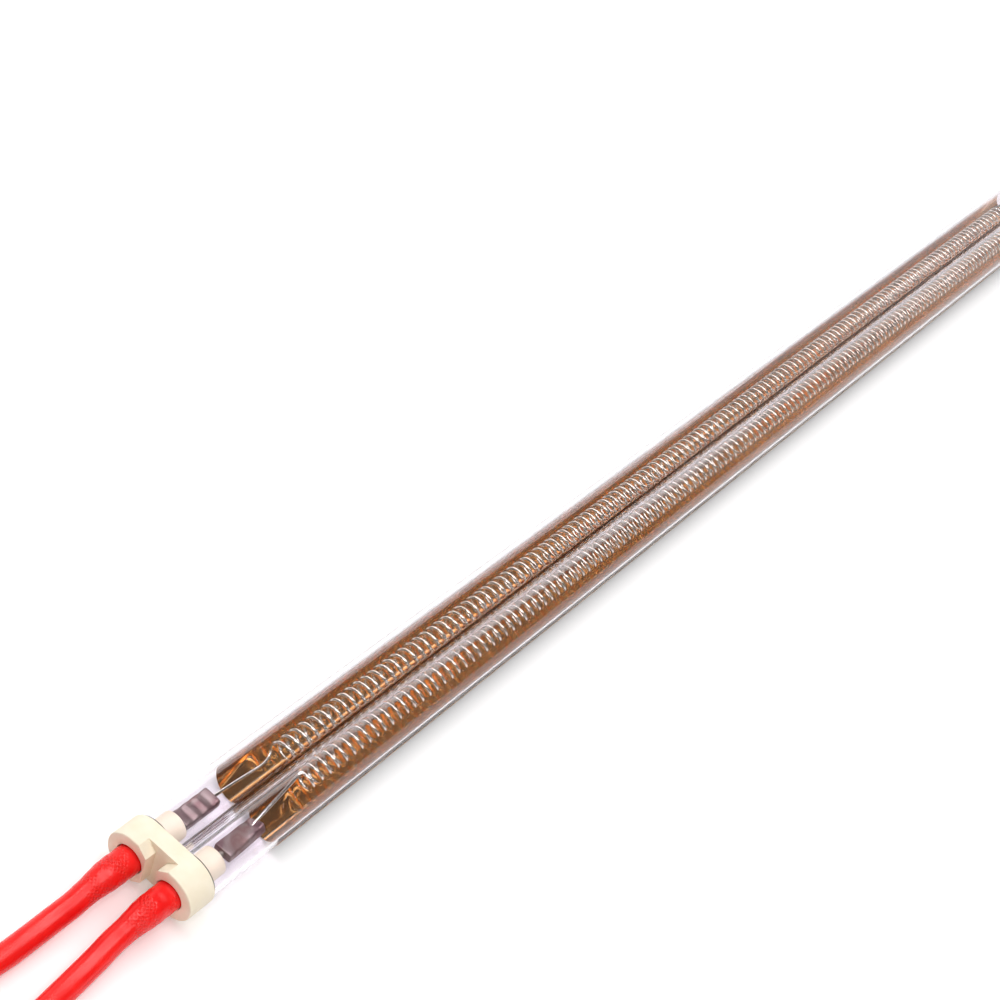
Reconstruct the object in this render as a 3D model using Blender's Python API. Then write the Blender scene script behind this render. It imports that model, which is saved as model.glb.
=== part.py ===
"""Twin-bore quartz infrared heating tube with a gold reflector coating.

Two resistance coils lie in one twin-bore quartz tube. Both leads enter through a
ceramic cap at one end, and a link wire joins the coils in the blank cap at the other.
Metres, +Z up. X runs along the tube away from the leads, +Y is the far bore, and the
origin is on the surface that the tube lies on, half way along it.
"""
import math

import bmesh
import bpy
from mathutils import Matrix, Vector

# Quartz tube: two round bores side by side with one web of glass between them
TUBE_LENGTH = 0.430
BORE_DIAMETER = 0.0092
TUBE_WALL = 0.0010
WEB_THICKNESS = 0.0018
WAIST_GROOVE = 0.0036

# Gold reflector: a fired-on coat on the lower half of the glass, drawn thick enough to be a solid
COAT_THICKNESS = 0.0002
COAT_CLEARANCE = 0.0001
COAT_INSET = 0.0215
COAT_EDGE_ANGLE = 12.0

# Resistance coils
WIRE_DIAMETER = 0.00066
COIL_DIAMETER = 0.0060
COIL_PITCH = 0.00256
COIL_INSET = 0.0337
COIL_CLEARANCE = 0.0002
STEPS_PER_TURN = 6
WIRE_SIDES = 3

# Ceramic end caps
CAP_LENGTH = 0.0067
CAP_OVERHANG = 0.0004
CAP_EDGE = 0.00025
BOSS_LENGTH = 0.0058
BOSS_CLEARANCE = 0.0013
BOSS_EDGE = 0.0005
SLOT_WIDTH = 0.0033
SLOT_DEPTH = 0.0028
SHOULDER_RUN = 0.0024
SHOULDER_DROP = 0.0021
RECESS_DEPTH = 0.0014
RECESS_CLEARANCE = 0.0002
LINK_GROOVE_DEPTH = 0.0032
SEAT_GAP = 0.0003

# Crimp terminals, pressed flat over the wire ends
CRIMP_LENGTH = 0.0098
CRIMP_WIDTH = 0.0045
CRIMP_THICKNESS = 0.0024
CRIMP_PRESS_DEPTH = 0.00028
CRIMP_PRESSES = 4
CRIMP_STANDOFF = 0.0003
CRIMP_HOLE_DEPTH = 0.0034
WIRE_CLEARANCE = 0.00015

# Conductors, splices and the widened sleeve ends that cover them
CONDUCTOR_DIAMETER = 0.0013
SPLICE_DIAMETER = 0.0040
SPLICE_LENGTH = 0.0050
SLEEVE_END_DIAMETER = 0.0065
SLEEVE_CLEARANCE = 0.00025
SLEEVE_WIDE_LENGTH = 0.0060
SLEEVE_TAPER = 0.0070
SLEEVE_DROOP = 12.0

# Leads and their ring terminals
LEAD_DIAMETER = 0.0052
LEAD_POINTS_APART = 2.2
STRAND_DIAMETER = 0.0022
STRAND_BARE_LENGTH = 0.0050
BARREL_DIAMETER = 0.0040
BARREL_BORE = 0.0026
BARREL_LENGTH = 0.0055
RING_DIAMETER = 0.0100
RING_HOLE = 0.0053
TONGUE_THICKNESS = 0.0009
TONGUE_LENGTH = 0.0075

# Routes of the leads past the sleeve ends: x from the tube's end, y from its middle line,
# and height of the lead's middle above the surface, which is never less than its radius
FAR_LEAD_ROUTE = [
    (-0.0215, 0.0055, 0.00455),
    (-0.0260, 0.0058, 0.00365),
    (-0.0315, 0.0060, 0.00295),
    (-0.0380, 0.0062, 0.00267),
    (-0.0470, 0.0072, 0.00260),
    (-0.0580, 0.0090, 0.00260),
    (-0.0700, 0.0106, 0.00260),
    (-0.0820, 0.0114, 0.00260),
    (-0.0940, 0.0112, 0.00260),
    (-0.1060, 0.0102, 0.00260),
    (-0.1180, 0.0087, 0.00260),
    (-0.1300, 0.0074, 0.00260),
    (-0.1420, 0.0066, 0.00260),
    (-0.1540, 0.0064, 0.00260),
    (-0.1660, 0.0068, 0.00260),
    (-0.1730, 0.0072, 0.00260),
]
NEAR_LEAD_ROUTE = [
    (-0.0215, -0.0055, 0.00455),
    (-0.0260, -0.0059, 0.00365),
    (-0.0315, -0.0063, 0.00295),
    (-0.0380, -0.0069, 0.00267),
    (-0.0470, -0.0077, 0.00260),
    (-0.0580, -0.0082, 0.00260),
    (-0.0700, -0.0080, 0.00260),
    (-0.0820, -0.0071, 0.00260),
    (-0.0940, -0.0060, 0.00260),
    (-0.1060, -0.0053, 0.00260),
    (-0.1180, -0.0053, 0.00260),
    (-0.1300, -0.0060, 0.00260),
    (-0.1420, -0.0070, 0.00260),
    (-0.1540, -0.0078, 0.00260),
    (-0.1660, -0.0082, 0.00260),
    (-0.1730, -0.0083, 0.00260),
]

# Sizes that follow from the ones above
BORE_RADIUS = BORE_DIAMETER / 2
LOBE_RADIUS = BORE_RADIUS + TUBE_WALL
BORE_OFFSET = BORE_RADIUS + WEB_THICKNESS / 2
CAP_RADIUS = LOBE_RADIUS + CAP_OVERHANG
BOSS_RADIUS = BORE_RADIUS - BOSS_CLEARANCE
CONDUCTOR_HOLE = CONDUCTOR_DIAMETER + 2 * WIRE_CLEARANCE
TAIL_HOLE = WIRE_DIAMETER + 2 * WIRE_CLEARANCE
COIL_LENGTH = TUBE_LENGTH - 2 * COIL_INSET
TURNS = round(COIL_LENGTH / COIL_PITCH)
COIL_LEAN = BORE_RADIUS - COIL_DIAMETER / 2 - COIL_CLEARANCE
CRIMP_START = BOSS_LENGTH + CRIMP_STANDOFF

# The two sides: name, side of the tube, direction in which the coil leans in its bore,
# angle at which the coil starts, and how the crimp is turned and twisted, all in degrees,
# then how far the crimp was set ahead of its place before it was pressed
SIDES = [
    {"name": "far", "side": 1, "lean": 210.0, "start": -70.0, "yaw": 0.0, "twist": 0.0, "ahead": 0.0},
    {"name": "near", "side": -1, "lean": 12.0, "start": 72.0, "yaw": 1.5, "twist": -28.0, "ahead": 0.0023},
]

COLOURS = {
    "quartz": (0.93, 0.92, 0.94, 0.05, 0.0),
    "gold": (0.83, 0.52, 0.20, 0.25, 1.0),
    "coil_alloy": (0.60, 0.59, 0.57, 0.35, 1.0),
    "ceramic": (0.90, 0.84, 0.72, 0.60, 0.0),
    "crimp_steel": (0.42, 0.33, 0.36, 0.30, 1.0),
    "nickel": (0.66, 0.63, 0.58, 0.30, 1.0),
    "red_sleeve": (0.80, 0.02, 0.02, 0.35, 0.0),
    "tinned_copper": (0.72, 0.72, 0.72, 0.30, 1.0),
}


def clear_scene():
    for item in list(bpy.data.objects):
        bpy.data.objects.remove(item, do_unlink=True)


def material(name):
    found = bpy.data.materials.get(name)
    if found:
        return found
    made = bpy.data.materials.new(name)
    made.use_nodes = True
    red, green, blue, roughness, metallic = COLOURS[name]
    shader = made.node_tree.nodes["Principled BSDF"]
    shader.inputs["Base Color"].default_value = (red, green, blue, 1.0)
    shader.inputs["Roughness"].default_value = roughness
    shader.inputs["Metallic"].default_value = metallic
    return made


def place(x, y=0.0, z=0.0):
    """Moves a shape from the tube's own middle line to its place on the surface."""
    return Matrix.Translation((x - TUBE_LENGTH / 2, y, z + CAP_RADIUS))


def object_from(bm, name, finish, matrix=None):
    bmesh.ops.recalc_face_normals(bm, faces=bm.faces)
    mesh = bpy.data.meshes.new(name)
    bm.to_mesh(mesh)
    bm.free()
    mesh.shade_smooth()
    mesh.set_sharp_from_angle(angle=math.radians(40))
    made = bpy.data.objects.new(name, mesh)
    bpy.context.collection.objects.link(made)
    if finish:
        mesh.materials.append(material(finish))
    made.matrix_world = matrix or Matrix.Identity(4)
    return made


def arc(centre, radius, start, stop, steps):
    """Points on an arc in the section plane, from start to stop in degrees."""
    points = []
    for i in range(steps + 1):
        angle = math.radians(start + (stop - start) * i / steps)
        points.append((centre[0] + radius * math.cos(angle), centre[1] + radius * math.sin(angle)))
    return points


def extruded(outline, x_start, x_stop):
    """A closed prism along X over an outline of (y, z) points."""
    bm = bmesh.new()
    corners = [bm.verts.new((x_start, y, z)) for y, z in outline]
    face = bm.faces.new(corners)
    grown = bmesh.ops.extrude_face_region(bm, geom=[face])
    moved = [item for item in grown["geom"] if isinstance(item, bmesh.types.BMVert)]
    bmesh.ops.translate(bm, verts=moved, vec=(x_stop - x_start, 0, 0))
    return bm


def rod(bm, radius, x_start, x_stop, y=0.0, z=0.0, steps=24):
    """Adds a round bar along X to a mesh and returns its corners."""
    turn = Matrix.Rotation(math.radians(90), 4, "Y")
    middle = Matrix.Translation(((x_start + x_stop) / 2, y, z))
    made = bmesh.ops.create_cone(
        bm,
        cap_ends=True,
        segments=steps,
        radius1=radius,
        radius2=radius,
        depth=x_stop - x_start,
        matrix=middle @ turn,
    )
    return made["verts"]


def cutter(bm, name, matrix):
    made = object_from(bm, name, None, matrix)
    made.hide_render = True
    made.display_type = "WIRE"
    return made


def boolean(target, tool, operation="DIFFERENCE"):
    step = target.modifiers.new(tool.name, "BOOLEAN")
    step.operation = operation
    step.object = tool
    step.solver = "EXACT"


def round_edges(target, width, segments=1, angle=40.0):
    step = target.modifiers.new("rounded_edges", "BEVEL")
    step.width = width
    step.segments = segments
    step.limit_method = "ANGLE"
    step.angle_limit = math.radians(angle)


def revolved(profile, steps, bend):
    """A closed ring turned about X from (x, radius) points, each point moved by bend."""
    bm = bmesh.new()
    rings = []
    for i in range(steps):
        angle = 2 * math.pi * i / steps
        ring = [bend(x, r * math.cos(angle), r * math.sin(angle)) for x, r in profile]
        rings.append([bm.verts.new(point) for point in ring])
    count = len(profile)
    for i, ring in enumerate(rings):
        after = rings[(i + 1) % steps]
        for j in range(count):
            k = (j + 1) % count
            bm.faces.new((ring[j], ring[k], after[k], after[j]))
    return bm


def swept(points, radius, sides):
    """A closed round bar along a path, its section carried along without twist."""
    bm = bmesh.new()
    path = [Vector(p) for p in points]
    tangents = []
    for i in range(len(path)):
        before = path[max(i - 1, 0)]
        after = path[min(i + 1, len(path) - 1)]
        tangents.append((after - before).normalized())
    normal = tangents[0].orthogonal().normalized()
    rings = []
    for i, (point, tangent) in enumerate(zip(path, tangents)):
        if i:
            normal = (tangents[i - 1].rotation_difference(tangent) @ normal).normalized()
        other = tangent.cross(normal)
        ring = []
        for j in range(sides):
            angle = 2 * math.pi * j / sides
            offset = normal * math.cos(angle) + other * math.sin(angle)
            ring.append(bm.verts.new(point + offset * radius))
        rings.append(ring)
    for first, second in zip(rings, rings[1:]):
        for j in range(sides):
            k = (j + 1) % sides
            bm.faces.new((first[j], first[k], second[k], second[j]))
    bm.faces.new(rings[0][::-1])
    bm.faces.new(rings[-1])
    return bm


def waist_fillet():
    """Centre height and radius of the fillet that joins the two lobes at the waist."""
    waist = LOBE_RADIUS - WAIST_GROOVE
    radius = (waist**2 + BORE_OFFSET**2 - LOBE_RADIUS**2) / (2 * WAIST_GROOVE)
    return waist + radius, radius


def tube_outline(offset=0.0, lobe_steps=20, fillet_steps=4):
    """The tube's outer section, moved outwards by offset."""
    height, radius = waist_fillet()
    lean = math.degrees(math.atan2(height, BORE_OFFSET))
    lobe = LOBE_RADIUS + offset
    inner = radius - offset
    points = arc((BORE_OFFSET, 0), lobe, lean - 180, 180 - lean, lobe_steps)
    points += arc((0, height), inner, -lean, lean - 180, fillet_steps)[1:-1]
    points += arc((-BORE_OFFSET, 0), lobe, lean, 360 - lean, lobe_steps)
    points += arc((0, -height), inner, 180 - lean, lean, fillet_steps)[1:-1]
    return points


def lower_outline(offset, lobe_steps=12, fillet_steps=4):
    """The underside of the tube's section, from one side of the coat to the other."""
    height, radius = waist_fillet()
    lean = math.degrees(math.atan2(height, BORE_OFFSET))
    lobe = LOBE_RADIUS + offset
    points = arc((BORE_OFFSET, 0), lobe, -COAT_EDGE_ANGLE, lean - 180, lobe_steps)
    points += arc((0, -height), radius - offset, lean, 180 - lean, fillet_steps)[1:-1]
    points += arc((-BORE_OFFSET, 0), lobe, -lean, COAT_EDGE_ANGLE - 180, lobe_steps)
    return points


def quartz_tube():
    tube = object_from(extruded(tube_outline(), 0, TUBE_LENGTH), "quartz_tube", "quartz", place(0))
    over = BORE_DIAMETER
    for side in SIDES:
        bm = bmesh.new()
        rod(bm, BORE_RADIUS, -over, TUBE_LENGTH + over, side["side"] * BORE_OFFSET)
        boolean(tube, cutter(bm, "bore_" + side["name"], place(0)))


def gold_reflector():
    inner = lower_outline(COAT_CLEARANCE)
    outer = lower_outline(COAT_CLEARANCE + COAT_THICKNESS)
    bm = bmesh.new()
    ends = []
    for x in (COAT_INSET, TUBE_LENGTH - COAT_INSET):
        near = [bm.verts.new((x, y, z)) for y, z in inner]
        away = [bm.verts.new((x, y, z)) for y, z in outer]
        ends.append((near, away))
    (inner_a, outer_a), (inner_b, outer_b) = ends
    last = len(inner) - 1
    for i in range(last):
        bm.faces.new((inner_a[i], inner_a[i + 1], inner_b[i + 1], inner_b[i]))
        bm.faces.new((outer_a[i], outer_b[i], outer_b[i + 1], outer_a[i + 1]))
        bm.faces.new((inner_a[i], outer_a[i], outer_a[i + 1], inner_a[i + 1]))
        bm.faces.new((inner_b[i], inner_b[i + 1], outer_b[i + 1], outer_b[i]))
    for i in (0, last):
        bm.faces.new((inner_a[i], inner_b[i], outer_b[i], outer_a[i]))
    object_from(bm, "gold_reflector", "gold", place(0))


def crimp_axis(side, distance):
    """A point of the crimp's middle line, in the tube's frame, at a distance along it."""
    yaw = math.radians(side["yaw"])
    y = side["side"] * BORE_OFFSET + distance * math.sin(yaw)
    return Vector((CRIMP_START + side["ahead"] + distance * math.cos(yaw), y, 0))


def coil_centre(side):
    lean = math.radians(side["lean"])
    y = side["side"] * BORE_OFFSET + COIL_LEAN * math.cos(lean)
    return y, COIL_LEAN * math.sin(lean)


def heating_coil(side):
    """The coil with a straight tail at each end, which reaches into its crimp."""
    radius = (COIL_DIAMETER - WIRE_DIAMETER) / 2
    middle_y, middle_z = coil_centre(side)
    steps = TURNS * STEPS_PER_TURN
    helix = []
    for i in range(steps + 1):
        angle = math.radians(side["start"]) + 2 * math.pi * i / STEPS_PER_TURN
        x = COIL_INSET + COIL_LENGTH * i / steps
        helix.append((x, middle_y + radius * math.cos(angle), middle_z + radius * math.sin(angle)))
    reach = CRIMP_LENGTH - CRIMP_HOLE_DEPTH + WIRE_CLEARANCE
    inside = crimp_axis(side, reach)
    mouth = crimp_axis(side, CRIMP_LENGTH + WIRE_DIAMETER)
    far_y = side["side"] * BORE_OFFSET
    far_mouth = (TUBE_LENGTH - CRIMP_START - CRIMP_LENGTH - WIRE_DIAMETER, far_y, 0)
    far_inside = (TUBE_LENGTH - CRIMP_START - reach, far_y, 0)
    points = [inside, mouth] + helix + [far_mouth, far_inside]
    name = "heating_coil_" + side["name"]
    object_from(swept(points, WIRE_DIAMETER / 2, WIRE_SIDES), name, "coil_alloy", place(0))


def cap_body(name, matrix):
    """The stadium-shaped block with its two bosses. Its face on the tube is at x = 0."""
    outline = arc((BORE_OFFSET, 0), CAP_RADIUS, -90, 90, 14)
    outline += arc((-BORE_OFFSET, 0), CAP_RADIUS, 90, 270, 14)
    cap = object_from(extruded(outline, -CAP_LENGTH, 0), name, "ceramic", matrix)
    round_edges(cap, CAP_EDGE)
    for side in SIDES:
        y = side["side"] * BORE_OFFSET
        bm = bmesh.new()
        rod(bm, BOSS_RADIUS, -CAP_LENGTH / 2, BOSS_LENGTH, y)
        rim = [
            edge
            for edge in bm.edges
            if all(abs(vert.co.x - BOSS_LENGTH) < 1e-6 for vert in edge.verts)
        ]
        bmesh.ops.bevel(bm, geom=rim, offset=BOSS_EDGE, segments=2, affect="EDGES", profile=0.5)
        boolean(cap, cutter(bm, name + "_boss_" + side["name"], matrix), "UNION")
        bm = bmesh.new()
        rod(bm, CONDUCTOR_HOLE / 2, -2 * CAP_LENGTH, 2 * BOSS_LENGTH, y, steps=12)
        boolean(cap, cutter(bm, name + "_hole_" + side["name"], matrix))
    return cap


def lead_end_cap():
    matrix = place(-SEAT_GAP)
    cap = cap_body("lead_end_cap", matrix)
    for side in SIDES:
        bm = bmesh.new()
        radius = SLEEVE_END_DIAMETER / 2 + RECESS_CLEARANCE
        y = side["side"] * BORE_OFFSET
        rod(bm, radius, -2 * CAP_LENGTH, RECESS_DEPTH - CAP_LENGTH, y, steps=24)
        boolean(cap, cutter(bm, "sleeve_recess_" + side["name"], matrix))
    narrow = SLOT_WIDTH / 2
    wide = narrow + SHOULDER_RUN
    tall = CAP_RADIUS
    low = tall - SHOULDER_DROP
    over = CAP_OVERHANG
    slope = over * SHOULDER_RUN / SHOULDER_DROP
    right = [(wide + slope, -tall - over), (narrow, -low), (narrow, low), (wide + slope, tall + over)]
    left = [(-y, z) for y, z in reversed(right)]
    slot = extruded(right + left, -2 * CAP_LENGTH, SLOT_DEPTH - CAP_LENGTH)
    boolean(cap, cutter(slot, "rear_slot", matrix))


def end_matrix():
    """The blank end: the lead end's frame turned about, on the other end of the tube."""
    return place(TUBE_LENGTH + SEAT_GAP) @ Matrix.Rotation(math.pi, 4, "Z")


def blank_end_cap():
    cap = cap_body("blank_end_cap", end_matrix())
    wide = CONDUCTOR_HOLE / 2
    reach = BORE_OFFSET + wide
    outline = [(-reach, -wide), (reach, -wide), (reach, wide), (-reach, wide)]
    groove = extruded(outline, -2 * CAP_LENGTH, LINK_GROOVE_DEPTH - CAP_LENGTH)
    boolean(cap, cutter(groove, "link_groove", end_matrix()))


def link_wire():
    """A staple through both holes of the blank cap that joins the two coils."""
    bend = CONDUCTOR_DIAMETER
    depth = LINK_GROOVE_DEPTH / 2 - CAP_LENGTH
    inside = CRIMP_START + CRIMP_HOLE_DEPTH - WIRE_CLEARANCE + SEAT_GAP
    half = arc((BORE_OFFSET - bend, depth + bend), bend, 0, -90, 4)
    points = [(inside, BORE_OFFSET, 0)]
    points += [(x, y, 0) for y, x in half]
    points += [(x, -y, 0) for y, x in reversed(half)]
    points += [(inside, -BORE_OFFSET, 0)]
    object_from(swept(points, CONDUCTOR_DIAMETER / 2, 10), "link_wire", "nickel", end_matrix())


def crimp(name, start, yaw, twist):
    """A sleeve pressed flat: rounded sections along X, narrower at each press mark."""
    matrix = start @ Matrix.Rotation(math.radians(yaw), 4, "Z")
    corner = CRIMP_THICKNESS * 0.3
    stations = [(0.0, 0.0), (0.06, 0.0)]
    pitch = 0.8 / CRIMP_PRESSES
    for i in range(CRIMP_PRESSES):
        mark = 0.1 + pitch * i
        stations += [(mark + 0.15 * pitch, 0.0), (mark + 0.35 * pitch, 1.0)]
        stations += [(mark + 0.65 * pitch, 1.0), (mark + 0.85 * pitch, 0.0)]
    stations += [(0.94, 0.0), (1.0, 0.0)]
    bm = bmesh.new()
    rings = []
    for share, press in stations:
        half_width = CRIMP_WIDTH / 2
        top = CRIMP_THICKNESS / 2 - press * CRIMP_PRESS_DEPTH
        low = -CRIMP_THICKNESS / 2
        outline = arc((half_width - corner, top - corner), corner, 0, 90, 2)
        outline += arc((corner - half_width, top - corner), corner, 90, 180, 2)
        outline += arc((corner - half_width, low + corner), corner, 180, 270, 2)
        outline += arc((half_width - corner, low + corner), corner, 270, 360, 2)
        turn = math.radians(twist * share)
        ring = []
        for y, z in outline:
            turned_y = y * math.cos(turn) - z * math.sin(turn)
            turned_z = y * math.sin(turn) + z * math.cos(turn)
            ring.append(bm.verts.new((CRIMP_LENGTH * share, turned_y, turned_z)))
        rings.append(ring)
    count = len(rings[0])
    for first, second in zip(rings, rings[1:]):
        for j in range(count):
            k = (j + 1) % count
            bm.faces.new((first[j], first[k], second[k], second[j]))
    bm.faces.new(rings[0][::-1])
    bm.faces.new(rings[-1])
    made = object_from(bm, name, "crimp_steel", matrix)
    bm = bmesh.new()
    rod(bm, CONDUCTOR_HOLE / 2, -CRIMP_LENGTH, CRIMP_HOLE_DEPTH, steps=12)
    boolean(made, cutter(bm, name + "_conductor_hole", start))
    bm = bmesh.new()
    rod(bm, TAIL_HOLE / 2, CRIMP_LENGTH - CRIMP_HOLE_DEPTH, 2 * CRIMP_LENGTH, steps=8)
    boolean(made, cutter(bm, name + "_tail_hole", matrix))


def crimps():
    for side in SIDES:
        start = place(*crimp_axis(side, 0))
        crimp("lead_crimp_" + side["name"], start, side["yaw"], side["twist"])
        turned_y = -side["side"] * BORE_OFFSET
        start = end_matrix() @ Matrix.Translation((CRIMP_START + SEAT_GAP, turned_y, 0))
        crimp("link_crimp_" + side["name"], start, 0, 0)


def sleeve_start():
    """Where the widened sleeve end stands in its recess, as x in the tube's frame."""
    return RECESS_DEPTH - CAP_LENGTH - 2 * SEAT_GAP


def drooped(distance, y, z):
    """A point of the sleeve end, straight over the splice and then bending down."""
    length = SLEEVE_WIDE_LENGTH + SLEEVE_TAPER - SPLICE_LENGTH
    radius = length / math.radians(SLEEVE_DROOP)
    angle = max(0, distance - SPLICE_LENGTH) / radius
    x = sleeve_start() - min(distance, SPLICE_LENGTH) - radius * math.sin(angle)
    drop = radius * (1 - math.cos(angle))
    return Vector((x - z * math.sin(angle), y, z * math.cos(angle) - drop))


def lead_entry(side):
    """The conductor, the splice behind the cap and the sleeve end that covers it."""
    y = side["side"] * BORE_OFFSET
    start = sleeve_start()
    rear_face = -SEAT_GAP - CAP_LENGTH
    inside = CRIMP_START + side["ahead"] + CRIMP_HOLE_DEPTH - WIRE_CLEARANCE
    bm = bmesh.new()
    rod(bm, CONDUCTOR_DIAMETER / 2, rear_face, inside, y, steps=12)
    object_from(bm, "conductor_" + side["name"], "nickel", place(0))

    bm = bmesh.new()
    rod(bm, SPLICE_DIAMETER / 2, start - SPLICE_LENGTH, start, y, steps=16)
    splice = object_from(bm, "splice_" + side["name"], "nickel", place(0))
    bm = bmesh.new()
    rod(bm, CONDUCTOR_HOLE / 2, rear_face - SEAT_GAP, start + SPLICE_LENGTH, y, steps=12)
    boolean(splice, cutter(bm, "splice_bore_" + side["name"], place(0)))

    outer = SLEEVE_END_DIAMETER / 2
    thin = LEAD_DIAMETER / 2
    inner = SPLICE_DIAMETER / 2 + SLEEVE_CLEARANCE
    length = SLEEVE_WIDE_LENGTH + SLEEVE_TAPER
    profile = [(0, inner), (0, outer), (SLEEVE_WIDE_LENGTH, outer)]
    for i in range(1, 4):
        share = i / 3
        ease = share * share * (3 - 2 * share)
        profile.append((SLEEVE_WIDE_LENGTH + SLEEVE_TAPER * share, outer + (thin - outer) * ease))
    profile.append((length, inner))
    profile.append((SPLICE_LENGTH, inner))
    name = "sleeve_end_" + side["name"]
    object_from(revolved(profile, 20, drooped), name, "red_sleeve", place(0, y))


def smooth_path(route, spacing):
    """Even points on a smooth curve through the route's own points."""
    points = [Vector(p) for p in route]
    points = [2 * points[0] - points[1]] + points + [2 * points[-1] - points[-2]]
    fine = []
    for a, b, c, d in zip(points, points[1:], points[2:], points[3:]):
        for i in range(16):
            t = i / 16
            bend = (2 * a - 5 * b + 4 * c - d) * t**2 + (3 * b - a - 3 * c + d) * t**3
            fine.append(0.5 * (2 * b + (c - a) * t + bend))
    fine.append(points[-2])
    lengths = [0.0]
    for a, b in zip(fine, fine[1:]):
        lengths.append(lengths[-1] + (b - a).length)
    count = max(2, round(lengths[-1] / spacing))
    even = []
    index = 0
    for i in range(count + 1):
        target = lengths[-1] * i / count
        while index < len(fine) - 2 and lengths[index + 1] < target:
            index += 1
        share = (target - lengths[index]) / (lengths[index + 1] - lengths[index])
        even.append(fine[index].lerp(fine[index + 1], share))
    return even


def lead(side, route):
    """A red sleeved lead on its route, with its bare strands and ring terminal."""
    name = side["name"]
    curve = bpy.data.curves.new("lead_" + name, "CURVE")
    curve.dimensions = "3D"
    curve.bevel_depth = LEAD_DIAMETER / 2
    curve.bevel_resolution = 3
    curve.use_fill_caps = True
    start = drooped(SLEEVE_WIDE_LENGTH + SLEEVE_TAPER + SEAT_GAP, side["side"] * BORE_OFFSET, 0)
    start.z += CAP_RADIUS
    path = smooth_path([start] + route, LEAD_POINTS_APART * LEAD_DIAMETER)
    spline = curve.splines.new("POLY")
    spline.points.add(len(path) - 1)
    for point, at in zip(spline.points, path):
        point.co = (at.x, at.y, max(at.z, LEAD_DIAMETER / 2), 1.0)
    curve.materials.append(material("red_sleeve"))
    made = bpy.data.objects.new("lead_" + name, curve)
    bpy.context.collection.objects.link(made)
    made.matrix_world = Matrix.Translation((-TUBE_LENGTH / 2, 0, 0))

    end, before = path[-1], path[-2]
    away = (end - before).normalized()
    angle = math.atan2(away.y, away.x)
    frame = made.matrix_world @ Matrix.Translation(end) @ Matrix.Rotation(angle, 4, "Z")
    bm = bmesh.new()
    barrel_start = SEAT_GAP + STRAND_BARE_LENGTH / 4
    rod(bm, STRAND_DIAMETER / 2, SEAT_GAP, SEAT_GAP + STRAND_BARE_LENGTH, steps=12)
    object_from(bm, "strands_" + name, "tinned_copper", frame)
    ring_terminal("ring_terminal_" + name, frame @ Matrix.Translation((barrel_start, 0, 0)))


def ring_terminal(name, matrix):
    """A crimp barrel with a flat tongue that ends in a ring, flush with the barrel's underside."""
    bm = bmesh.new()
    rod(bm, BARREL_DIAMETER / 2, 0, BARREL_LENGTH, steps=20)
    made = object_from(bm, name, "tinned_copper", matrix)
    low = -BARREL_DIAMETER / 2 * 0.94
    ring_x = BARREL_LENGTH + TONGUE_LENGTH
    neck = BARREL_DIAMETER / 2 * 0.9
    radius = RING_DIAMETER / 2
    spread = math.degrees(math.asin(neck / radius))
    outline = [(BARREL_LENGTH * 0.6, neck), (BARREL_LENGTH * 0.6, -neck)]
    outline += [
        (ring_x + y, z) for y, z in arc((0, 0), radius, spread - 180, 180 - spread, 24)
    ]
    bm = bmesh.new()
    corners = [bm.verts.new((x, y, low)) for x, y in outline]
    face = bm.faces.new(corners)
    grown = bmesh.ops.extrude_face_region(bm, geom=[face])
    moved = [item for item in grown["geom"] if isinstance(item, bmesh.types.BMVert)]
    bmesh.ops.translate(bm, verts=moved, vec=(0, 0, TONGUE_THICKNESS))
    boolean(made, cutter(bm, name + "_tongue", matrix), "UNION")
    bm = bmesh.new()
    rod(bm, BARREL_BORE / 2, -BARREL_LENGTH, BARREL_LENGTH * 0.8, steps=16)
    boolean(made, cutter(bm, name + "_bore", matrix))
    bm = bmesh.new()
    bmesh.ops.create_cone(
        bm,
        cap_ends=True,
        segments=24,
        radius1=RING_HOLE / 2,
        radius2=RING_HOLE / 2,
        depth=4 * BARREL_DIAMETER,
        matrix=Matrix.Translation((ring_x, 0, 0)),
    )
    boolean(made, cutter(bm, name + "_hole", matrix))


def build():
    clear_scene()
    quartz_tube()
    gold_reflector()
    lead_end_cap()
    blank_end_cap()
    crimps()
    link_wire()
    for side in SIDES:
        heating_coil(side)
        lead_entry(side)
    far, near = SIDES
    lead(far, FAR_LEAD_ROUTE)
    lead(near, NEAR_LEAD_ROUTE)


build()
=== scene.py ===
import math

import bpy
from mathutils import Matrix, Vector


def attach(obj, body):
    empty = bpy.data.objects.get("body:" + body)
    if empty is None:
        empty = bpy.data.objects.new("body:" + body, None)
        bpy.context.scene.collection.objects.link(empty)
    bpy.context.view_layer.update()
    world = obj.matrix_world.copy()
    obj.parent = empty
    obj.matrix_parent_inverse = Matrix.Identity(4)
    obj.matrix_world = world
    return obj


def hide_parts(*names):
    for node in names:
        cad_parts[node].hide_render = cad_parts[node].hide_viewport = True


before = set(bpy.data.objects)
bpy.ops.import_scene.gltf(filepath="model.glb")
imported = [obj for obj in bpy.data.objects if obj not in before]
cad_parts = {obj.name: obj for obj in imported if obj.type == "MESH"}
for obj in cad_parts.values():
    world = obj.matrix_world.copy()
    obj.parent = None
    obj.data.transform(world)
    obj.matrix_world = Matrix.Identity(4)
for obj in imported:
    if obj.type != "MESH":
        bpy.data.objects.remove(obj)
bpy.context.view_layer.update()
print("frame loaded:", len(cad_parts), "nodes")

# Everything below is in metres. Positions are given from the tube's end, x along the
# tube, y across it and z from the middle of its bores; place() puts them in the frame.
tube = {
    "length": 0.430,
    "lobeRadius": 0.0056,
    "boreRadius": 0.0046,
    "boreOffset": 0.0055,  # from the tube's middle to the middle of each bore
    "waistGroove": 0.0036,  # how far the waist lies below the top of the lobes
    "axisHeight": 0.0060,  # of the bores over the floor, which is the caps' radius
    "sides": 256,
}
past = 0.01  # how far a cutting shape runs past what it cuts

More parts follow.
